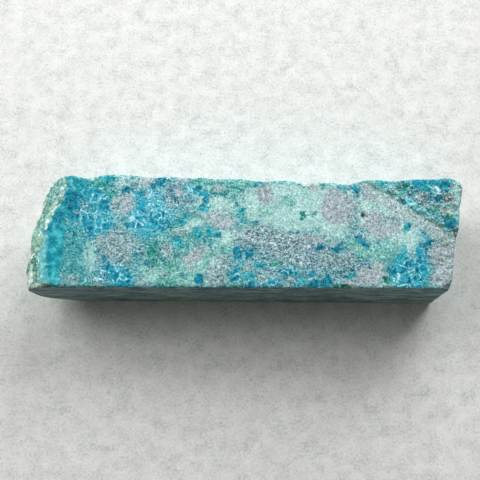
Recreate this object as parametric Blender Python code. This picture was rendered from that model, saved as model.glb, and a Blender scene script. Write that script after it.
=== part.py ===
"""Rough-sawn bar of chrysocolla, one piece of stone.

The top, the front and the base are saw cuts. The left end keeps its natural crust, which rounds under to the
base. The back and the right end are broken. A healed fracture crosses the right back corner: beyond it the
corner lies a little lower than the cut and is covered with drusy crystals.

X runs along the bar, Y from the front to the back, Z up. The origin is the centre of the bounding box at the base.
"""

import math
import random

import bmesh
import bpy
from mathutils import Matrix, Vector, noise

MM = 0.001

# Driving dimensions, in millimetres.
LENGTH = 106.4
DEPTH = 28.6
HEIGHT = 19.5
WEDGE = 1.8  # the bar is this much thinner at the left end than at the right
WORN = 0.35  # how far the sawn edges are worn back
CRUST_WIDTH = 4.2  # the natural skin slopes off the cut over this width
CRUST_DROP = 3.2
CRUST_LEDGES = 4  # the skin comes off in this many layers
RECESS = 0.8  # the drusy corner lies this much below the cut
LEDGE = 0.4  # width of the little cliff along the fracture
SKEW = 0.3  # the outlines shift sideways by this share of the depth below the top

# Slices of the block before it is carved: how many cells along each side.
CELLS_X, CELLS_Y, CELLS_Z = 50, 14, 9

# The fracture is a straight plane through these two points of the top.
FRACTURE_FROM = Vector((28.1, 13.0))
FRACTURE_TO = Vector((50.4, -2.1))

# Outline of the crust end, as (y, x) from front to back.
CRUST_OUTLINE = [
    (-14.3, -52.7), (-12.5, -53.1), (-9.0, -53.2), (-6.8, -53.2), (-5.4, -52.5), (-3.5, -53.1), (-1.0, -53.1),
    (1.0, -52.5), (3.0, -51.5), (6.0, -50.9), (8.5, -50.6), (10.5, -50.1), (12.5, -49.1), (13.4, -48.1),
    (14.3, -46.6),
]
# How far the crust end is cut back under its widest line, as (height, cut back).
CRUST_UNDERCUT = [(0.0, 12.0), (1.0, 9.6), (2.2, 6.6), (3.5, 4.0), (4.9, 2.3), (7.6, 0.8), (10.9, 0.3), (14.4, 0.0)]
# Outline of the broken back, as (x, y) from left to right.
BACK_OUTLINE = [
    (-51.4, 13.6), (-46.9, 13.9), (-43.9, 14.3), (-40.9, 13.8), (-37.9, 13.6), (-34.4, 14.3),
    (-29.4, 14.2), (-23.4, 13.5), (-17.4, 13.7), (-13.4, 13.3), (-10.4, 13.5), (-6.4, 13.0), (-2.9, 13.3),
    (0.6, 13.0), (3.6, 12.4), (7.6, 12.7), (11.6, 12.7), (14.6, 12.0), (17.6, 12.3), (20.6, 12.2),
    (24.1, 11.6), (27.1, 12.0), (28.8, 12.9), (31.6, 13.1), (36.6, 12.9), (41.6, 13.4), (49.6, 13.4),
    (52.0, 13.2), (53.2, 12.6),
]
# Outline of the broken right end, as (y, x) from front to back.
RIGHT_OUTLINE = [
    (-14.3, 48.5), (-11.5, 49.1), (-9.0, 49.6), (-5.0, 50.0), (-3.0, 50.1), (-1.8, 50.8), (0.0, 51.3), (3.0, 51.9),
    (6.0, 52.2), (9.0, 52.6), (11.0, 53.1), (12.4, 53.2), (13.4, 52.6), (14.3, 51.6),
]

# Chips knocked off the edges and one pit in the top, as (x, y, z, radius of the scoop, depth).
CHIPS = [
    (-39.0, 14.0, 17.8, 3.2, 1.0),
    (14.4, 12.6, 18.8, 2.4, 0.8),
    (25.0, 12.1, 19.0, 2.6, 0.8),
    (24.2, -14.3, 18.9, 4.6, 0.8),
    (48.0, -14.0, 19.4, 3.4, 1.2),
    (-46.3, -14.3, 17.6, 2.2, 0.7),
    (49.7, -6.6, 19.4, 2.0, 0.6),
    (51.6, -13.0, 6.0, 5.0, 3.0),
    (-11.4, -14.3, 0.0, 3.8, 0.9),
    (31.6, 13.6, 0.4, 5.2, 1.6),
    (-21.4, 14.0, 1.0, 4.4, 1.3),
    (28.6, 3.4, 19.0, 0.8, 0.6),
]

# Broad shallow scoops where flakes broke away from the back and the right end, written like the chips.
FLAKES = [
    (-37.4, 14.0, 6.0, 19.0, 1.5),
    (-27.4, 14.0, 11.0, 22.0, 1.1),
    (-18.4, 13.6, 4.5, 17.0, 1.5),
    (-8.4, 13.2, 9.5, 24.0, 1.3),
    (1.1, 13.0, 4.0, 16.0, 1.4),
    (10.1, 12.7, 9.0, 21.0, 1.2),
    (19.6, 12.2, 5.0, 18.0, 1.4),
    (28.1, 12.6, 10.5, 15.0, 0.8),
    (36.6, 13.0, 5.5, 19.0, 1.4),
    (46.1, 13.4, 10.0, 17.0, 1.0),
    (52.4, 7.5, 5.0, 15.0, 0.9),
    (51.0, 0.5, 10.5, 13.0, 0.9),
    (49.6, -7.5, 6.0, 16.0, 1.2),
]

# Drusy quartz points: how many, and their width from the smallest to the largest.
CRYSTALS = 64
CRYSTAL_WIDTH = (0.8, 1.9)


def clamp(value, low=0.0, high=1.0):
    return max(low, min(high, value))


def ease(value):
    """0 below 0, 1 above 1, and a smooth rise between."""
    t = clamp(value)
    return t * t * (3 - 2 * t)


def follow(outline, t):
    """The value of an outline of (t, value) points at t, with an eased run between two points."""
    if t <= outline[0][0]:
        return outline[0][1]
    for (t0, v0), (t1, v1) in zip(outline, outline[1:]):
        if t <= t1:
            return v0 + (v1 - v0) * ease((t - t0) / (t1 - t0))
    return outline[-1][1]


def rough(p, size, seed, octaves=3):
    """Stony unevenness from -1 to 1 with lumps of about this size."""
    return noise.fractal(p / size + Vector((seed, 0, 0)), 0.9, 2.1, octaves)


def stations(low, high, cells):
    """Slices across one side: even cells, and one narrow cell at each worn edge."""
    step = (high - low) / cells
    return [low + 2 * WORN] + [low + step * i for i in range(1, cells)] + [high - 2 * WORN]


def slice_through(bm, point, normal):
    """Cuts every face that the plane crosses, and keeps both sides."""
    everything = bm.verts[:] + bm.edges[:] + bm.faces[:]
    bmesh.ops.bisect_plane(bm, geom=everything, dist=1e-6, plane_co=point, plane_no=normal)


def sliced_block():
    """A plain block of the bar's size, sliced into cells along X, Y and Z."""
    bm = bmesh.new()
    size = Matrix.Diagonal((LENGTH, DEPTH, HEIGHT, 1))
    bmesh.ops.create_cube(bm, size=1, matrix=Matrix.Translation((0, 0, HEIGHT / 2)) @ size)
    sides = (
        (Vector((1, 0, 0)), -LENGTH / 2, LENGTH / 2, CELLS_X),
        (Vector((0, 1, 0)), -DEPTH / 2, DEPTH / 2, CELLS_Y),
        (Vector((0, 0, 1)), 0, HEIGHT, CELLS_Z),
    )
    for axis, low, high, cells in sides:
        for place in stations(low, high, cells):
            slice_through(bm, axis * place, axis)
    return bm


def wear_edges(bm):
    """Draws the twelve edges of the block in, so that each is worn round by the narrow cells beside it."""
    half = Vector((LENGTH / 2, DEPTH / 2, HEIGHT / 2))
    for v in bm.verts:
        offset = v.co - Vector((0, 0, half.z))
        at_side = [abs(abs(offset[i]) - half[i]) < 1e-4 for i in range(3)]
        if sum(at_side) < 2:
            continue
        for i in range(3):
            if at_side[i]:
                v.co[i] -= math.copysign(WORN * 0.6, offset[i])


def saw_plane(x):
    """Height of the cut top, which rises evenly to the right end."""
    return HEIGHT - WEDGE * clamp((LENGTH / 2 - x) / LENGTH)


def shape_outline(bm):
    """Moves the sides of the block to the outlines, each over its own reach so that the middle stays straight."""
    left_reach, right_reach, back_reach = 30.0, 14.0, 9.0
    for v in bm.verts:
        x, y, z = v.co
        depth_down = HEIGHT - z
        left = follow(CRUST_OUTLINE, y + SKEW * depth_down) + follow(CRUST_UNDERCUT, z) + LENGTH / 2
        right = follow(RIGHT_OUTLINE, y - SKEW * depth_down) - LENGTH / 2
        taper = 0.05 * depth_down
        v.co.x += left * clamp(1 - (x + LENGTH / 2) / left_reach)
        v.co.x += right * clamp(1 - (LENGTH / 2 - x) / right_reach)
        back = follow(BACK_OUTLINE, v.co.x + SKEW * depth_down) - DEPTH / 2 - taper
        v.co.y += back * clamp(1 - (DEPTH / 2 - y) / back_reach)
        v.co.z *= saw_plane(v.co.x) / HEIGHT


def beyond_fracture(p):
    """Distance of a point past the fracture plane, towards the right back corner."""
    along = (FRACTURE_TO - FRACTURE_FROM).normalized()
    return (Vector((p.x, p.y)) - FRACTURE_FROM).dot(Vector((-along.y, along.x)))


def cut_fracture(bm):
    """Two slices along the fracture, one at each side of its ledge."""
    along = (FRACTURE_TO - FRACTURE_FROM).normalized()
    normal = Vector((-along.y, along.x, 0))
    for distance in (0.0, LEDGE):
        slice_through(bm, FRACTURE_FROM.to_3d() + normal * distance, normal)


def refine(bm, wanted):
    """Splits the faces whose centre is wanted into four."""
    faces = [f for f in bm.faces if wanted(f.calc_center_median(), f.normal)]
    edges = list({e for f in faces for e in f.edges})
    bmesh.ops.subdivide_edges(bm, edges=edges, cuts=1, use_grid_fill=True)
    bmesh.ops.triangulate(bm, faces=[f for f in bm.faces if len(f.verts) > 4])


def in_crust(p, reach):
    return p.x - follow(CRUST_OUTLINE, p.y) - follow(CRUST_UNDERCUT, p.z) < reach


def on_top(p):
    return p.z > saw_plane(p.x) - 0.5


def crystal(p, size, seed):
    """Height from 0 to 1 of pyramids with flat faces, each about this wide."""
    distances, _ = noise.voronoi(p / size + Vector((seed, seed, 0)), distance_metric="CHEBYCHEV")
    return clamp(1 - 1.6 * distances[0])


def crust_drop(p):
    """How far the natural skin lies below the cut: a slope broken into ledges that run along the edge."""
    inward = p.x - follow(CRUST_OUTLINE, p.y)
    run = clamp(1 - inward / CRUST_WIDTH + 0.14 * rough(Vector((p.x, p.y * 0.5, 0)), 3.0, 3.0))
    step = run * CRUST_LEDGES % 1
    stepped = (math.floor(run * CRUST_LEDGES) + ease(step * 2.2 - 0.6)) / CRUST_LEDGES
    return CRUST_DROP * (0.3 * run**2 + 0.7 * stepped**1.6)


def top_drop(p):
    """How far the top lies below the saw plane: crust, drusy corner and the broken ground in front of it."""
    drop = crust_drop(p)
    past = beyond_fracture(p)
    if past > LEDGE / 2:
        druse = 0.65 * crystal(Vector((p.x, p.y, 0)), 2.2, 4.0)
        drop += RECESS * (1 + 0.35 * rough(Vector((p.x, p.y, 0)), 4.0, 8.0)) - druse
    else:
        broken = ease((p.x - 43.1) / 2.5) * ease((-0.5 - p.y) / 2)
        drop += broken * (0.25 + 0.3 * rough(Vector((p.x * 0.6, p.y, 0)), 1.8, 5.0))
    return drop


def lower_top(bm):
    """Lowers the top, and everything below it by less and less, so that the sides follow without folding."""
    for v in bm.verts:
        share = v.co.z / saw_plane(v.co.x)
        v.co.z -= top_drop(v.co) * share**3


def side_push(p, normal):
    """How far the natural crust and the broken back and right end stand out; the sawn faces stay flat."""
    crust = clamp(-normal.x * 1.6)
    back = clamp(normal.y * 1.3 - 0.2)
    right = clamp(normal.x * 1.3 - 0.2)
    knobs = 0.6 * rough(p, 4.2, 11.0) + 0.35 * rough(p, 1.9, 13.0)
    facets = 1.6 * (crystal(p, 7.5, 17.0) - 0.5) + 0.4 * rough(p, 2.4, 19.0)
    corner = 1 - 0.8 * min(crust, back)
    return min(crust * knobs + back * facets * 0.8 + right * facets * 0.45, 0.45) * corner


def carve_sides(bm):
    """Pushes the rough sides along their own normals, fading out towards the base and the top."""
    bm.normal_update()
    moves = []
    for v in bm.verts:
        share = v.co.z / HEIGHT
        fade = ease(v.co.z / 1.5) * ease((0.95 - share) / 0.15) * ease((v.co.y + DEPTH / 2 - 0.3) / 2)
        moves.append((v, v.normal * side_push(v.co, v.normal) * fade))
    for v, move in moves:
        v.co += move


def level_and_size(bm):
    """Brings the carved block to the exact length, depth and height, centred over the origin."""
    low = Vector([min(v.co[i] for v in bm.verts) for i in range(3)])
    high = Vector([max(v.co[i] for v in bm.verts) for i in range(3)])
    target = Vector((LENGTH, DEPTH, HEIGHT))
    for v in bm.verts:
        for i in range(3):
            share = (v.co[i] - low[i]) / (high[i] - low[i])
            v.co[i] = (share - (0 if i == 2 else 0.5)) * target[i]


def scoops():
    """One mesh of faceted balls, placed so that each bites its own depth into an edge or a broken face."""
    bm = bmesh.new()
    random.seed(5)
    for x, y, z, radius, depth in CHIPS + FLAKES:
        at_end = abs(x) > LENGTH / 2 - 7
        if (x, y, z, radius, depth) in FLAKES:
            outward = Vector((1, 0, 0)) if at_end and y < 10 else Vector((0, 1, 0))
        else:
            outward = Vector((x * 0.25 if at_end else 0, y, (z - HEIGHT / 2) * 1.4))
        place = Vector((x, y, z)) + outward.normalized() * (radius - depth)
        turn = Matrix.Rotation(random.uniform(0, math.pi), 4, "Z")
        fineness = 3 if radius > 10 else 2
        matrix = Matrix.Translation(place) @ turn
        bmesh.ops.create_icosphere(bm, subdivisions=fineness, radius=radius, matrix=matrix)
    return bm


def quartz_point(bm, foot, width, tilt, turn):
    """A six-sided prism with a six-sided point, standing in the stone up to half its height."""
    rings = []
    for height, share in ((-0.7 * width, 1.0), (0.3 * width, 1.0), (0.8 * width, 0.12)):
        ring = []
        for i in range(6):
            angle = math.tau * i / 6
            corner = Vector((math.cos(angle), math.sin(angle), 0)) * width / 2 * share
            ring.append(bm.verts.new(foot + turn @ tilt @ (corner + Vector((0, 0, height)))))
        rings.append(ring)
    bm.faces.new(rings[0][::-1])
    bm.faces.new(rings[-1])
    for lower, upper in zip(rings, rings[1:]):
        for i in range(6):
            j = (i + 1) % 6
            bm.faces.new((lower[i], lower[j], upper[j], upper[i]))


def quartz_points():
    """Crystals scattered over the drusy corner, more crowded towards the fracture."""
    bm = bmesh.new()
    random.seed(11)
    grown = 0
    while grown < CRYSTALS:
        x, y = random.uniform(31.5, 51.5), random.uniform(0, 12.4)
        foot = Vector((x, y, saw_plane(x) - RECESS - 0.6))
        past = beyond_fracture(foot)
        if past < 1.3 or x > follow([(a, b - 1.0) for a, b in RIGHT_OUTLINE], y):
            continue
        if random.random() < 0.04 * past:
            continue
        width = random.uniform(*CRYSTAL_WIDTH)
        tilt = Matrix.Rotation(random.uniform(0.1, 0.75), 3, "X")
        turn = Matrix.Rotation(random.uniform(0, math.tau), 3, "Z")
        quartz_point(bm, foot, width, tilt, turn)
        grown += 1
    return bm


def object_from(name, bm, scale=MM):
    mesh = bpy.data.meshes.new(name)
    bmesh.ops.scale(bm, vec=(scale,) * 3, verts=bm.verts)
    bm.to_mesh(mesh)
    bm.free()
    obj = bpy.data.objects.new(name, mesh)
    bpy.context.scene.collection.objects.link(obj)
    return obj


def combine(bar, name, bm, operation):
    """Adds or takes away a helper mesh with an exact Boolean."""
    helper = object_from(name, bm)
    helper.hide_render = True
    helper.display_type = "WIRE"
    boolean = bar.modifiers.new(name, "BOOLEAN")
    boolean.object = helper
    boolean.operation = operation
    boolean.solver = "EXACT"
    boolean.use_self = True


def stone_material():
    """Matt sawn chrysocolla in quartz: a pale blue-green with little shine."""
    material = bpy.data.materials.new("chrysocolla_in_quartz")
    material.use_nodes = True
    shader = material.node_tree.nodes["Principled BSDF"]
    shader.inputs["Base Color"].default_value = (0.18, 0.42, 0.45, 1)
    shader.inputs["Roughness"].default_value = 0.62
    shader.inputs["Metallic"].default_value = 0
    return material


def build_bar():
    bm = sliced_block()
    wear_edges(bm)
    shape_outline(bm)
    cut_fracture(bm)
    bm.normal_update()
    refine(bm, lambda p, n: in_crust(p, 5.0) and p.z > 0.3)
    refine(bm, lambda p, n: on_top(p) and beyond_fracture(p) > LEDGE / 2 and n.z > 0.5)
    carve_sides(bm)
    lower_top(bm)
    level_and_size(bm)
    bmesh.ops.triangulate(bm, faces=bm.faces)
    bar = object_from("chrysocolla_bar", bm)
    combine(bar, "crystals", quartz_points(), "UNION")
    combine(bar, "scoops", scoops(), "DIFFERENCE")
    bar.data.materials.append(stone_material())
    return bar


def main():
    for obj in list(bpy.data.objects):
        bpy.data.objects.remove(obj)
    build_bar()


main()
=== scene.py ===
"""Looks of the chrysocolla bar: a rough-sawn bar of blue-green chrysocolla in brecciated quartz.

The solid of the bar is copied, remeshed finely and given the relief that a saw, a break and a
natural skin leave. Mineral patches are laid out in millimetres on the sawn top and run down through
the stone at a slant, so that every side shows them. Drusy quartz points grow over the broken
corner, and a few on the crust.
"""

import math

import bmesh
import bpy
import numpy as np
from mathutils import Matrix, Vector, noise


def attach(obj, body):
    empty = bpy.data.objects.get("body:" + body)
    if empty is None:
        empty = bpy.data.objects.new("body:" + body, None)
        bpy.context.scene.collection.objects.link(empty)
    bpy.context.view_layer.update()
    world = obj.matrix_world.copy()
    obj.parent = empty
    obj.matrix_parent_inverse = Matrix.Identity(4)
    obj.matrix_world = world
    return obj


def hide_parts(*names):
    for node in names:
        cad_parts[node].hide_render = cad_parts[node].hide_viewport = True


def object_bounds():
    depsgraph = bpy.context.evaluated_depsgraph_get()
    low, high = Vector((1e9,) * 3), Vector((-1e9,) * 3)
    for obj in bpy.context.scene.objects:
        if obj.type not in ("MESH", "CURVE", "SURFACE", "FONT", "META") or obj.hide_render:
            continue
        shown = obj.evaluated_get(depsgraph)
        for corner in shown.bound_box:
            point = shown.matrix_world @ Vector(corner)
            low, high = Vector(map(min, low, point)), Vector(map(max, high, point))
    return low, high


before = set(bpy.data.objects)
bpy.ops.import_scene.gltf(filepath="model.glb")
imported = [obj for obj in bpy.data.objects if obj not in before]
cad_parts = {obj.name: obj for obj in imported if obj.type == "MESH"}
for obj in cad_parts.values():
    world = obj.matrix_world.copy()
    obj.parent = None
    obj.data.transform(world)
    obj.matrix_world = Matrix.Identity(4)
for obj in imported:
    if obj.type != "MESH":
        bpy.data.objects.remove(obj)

MM = 0.001
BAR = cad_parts["chrysocolla_bar"]
CAD_LOW, CAD_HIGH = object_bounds()

# The sawn top is 1.8 mm lower at the left end than at the right. The healed fracture is an upright
# plane through two points of the top. All in mm.
TOP_RIGHT, TOP_DROP, LENGTH, DEPTH = 19.5, 1.8, 106.4, 28.6
FRACTURE_FROM, FRACTURE_TO = (28.1, 13.0), (50.4, -2.1)
PIT = (28.4, 3.9)
VOXEL = 0.36  # mm, fine enough for the relief and under the triangle limit
DRIFT_SEED = 2

# Below the top's own layer, minerals shift this far in X and Y for every mm down.
TOP_LAYER, SLANT = 3.4, (0.3, 0.22)
REACH = 2.0  # mm, how far in or out of a patch depths are told apart

# --------------------------------------------------------------------------------------------------
# Where each mineral lies. A patch is (x, y, half length, half width, turn in degrees), in mm on the
# top. A streak is (half width, [(x, y), ...]). Zones tint the ground between the patches and fade out
# over 3 mm.
# --------------------------------------------------------------------------------------------------
ZONES = {
    "aqua": [
        (-20.4, 6.6, 4.4, 5.4, 0), (-26.6, 4.6, 1.8, 4.0, 0), (-12.6, 8.4, 4.0, 2.6, 0),
        (-34.4, 3.4, 2.0, 3.0, 0), (41.0, 6.6, 5.0, 2.0, -30), (36.0, -10.0, 1.4, 2.0, 0),
    ],
    "ashen": [
        (35.0, 3.0, 11.0, 7.0, -30), (30.5, -10.5, 8.0, 4.0, 5), (46.8, -6.6, 4.0, 8.0, 0),
        (22.5, 6.0, 5.0, 6.0, 0), (-31.0, -4.6, 5.0, 6.6, 0), (-29.8, 7.0, 3.0, 4.0, 0),
        (-8.6, -9.0, 5.0, 5.0, 0), (7.0, 5.0, 7.0, 6.0, 0), (5.0, -2.6, 10.0, 3.6, -8),
        (-7.0, 5.6, 5.6, 3.6, 0), (-26.0, 12.0, 4.0, 1.6, 0),
    ],
    "netted": [
        (-35.0, 5.0, 5.0, 6.4, 0), (-23.4, 4.2, 4.8, 6.6, 0), (39.6, -10.0, 5.0, 6.0, 0),
        (6.0, -10.0, 10.0, 4.0, 0), (-31.0, -11.0, 5.0, 3.0, 0),
    ],
    "verdant": [
        (-19.0, -8.0, 7.0, 6.0, 0), (-9.0, -12.4, 9.0, 2.6, 0), (9.0, -9.0, 5.0, 1.6, 0),
        (-14.0, 0.0, 5.0, 4.5, 0), (-8.0, 9.5, 5.0, 4.0, 0), (31.0, -6.5, 7.0, 2.2, -15),
        (-1.0, 4.0, 4.0, 3.0, 0), (20.0, 13.0, 20.0, 1.2, 0), (39.0, -13.4, 3.0, 1.0, 0),
        (-40.0, 12.4, 6.0, 2.0, 0),
    ],
    "dusk": [
        (4.0, -4.6, 6.0, 3.6, -10), (15.0, -5.4, 9.0, 4.4, -6), (9.0, -10.4, 11.0, 2.6, 0),
        (26.0, -9.8, 7.0, 3.6, 0), (-18.5, 8.6, 6.0, 4.5, 0), (-31.5, -5.5, 5.0, 6.5, 0),
        (46.0, -6.0, 4.0, 6.0, 0), (-40.2, -7.4, 4.6, 6.8, 0), (8.0, 3.0, 6.0, 3.0, 30),
        (42.0, 8.0, 5.0, 2.4, -10),
    ],
    "deep": [
        (-42.5, 8.0, 8.0, 6.4, 0), (-37.5, 2.0, 6.0, 4.2, 0), (-23.6, 4.4, 4.8, 6.2, 0),
        (-31.0, -10.6, 4.4, 3.6, -20), (-47.0, 6.0, 3.0, 8.0, 0), (38.8, -10.0, 5.0, 5.0, 0),
        (45.4, 11.0, 5.6, 3.2, 0), (41.6, -4.0, 1.6, 4.0, -20),
    ],
}
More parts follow.
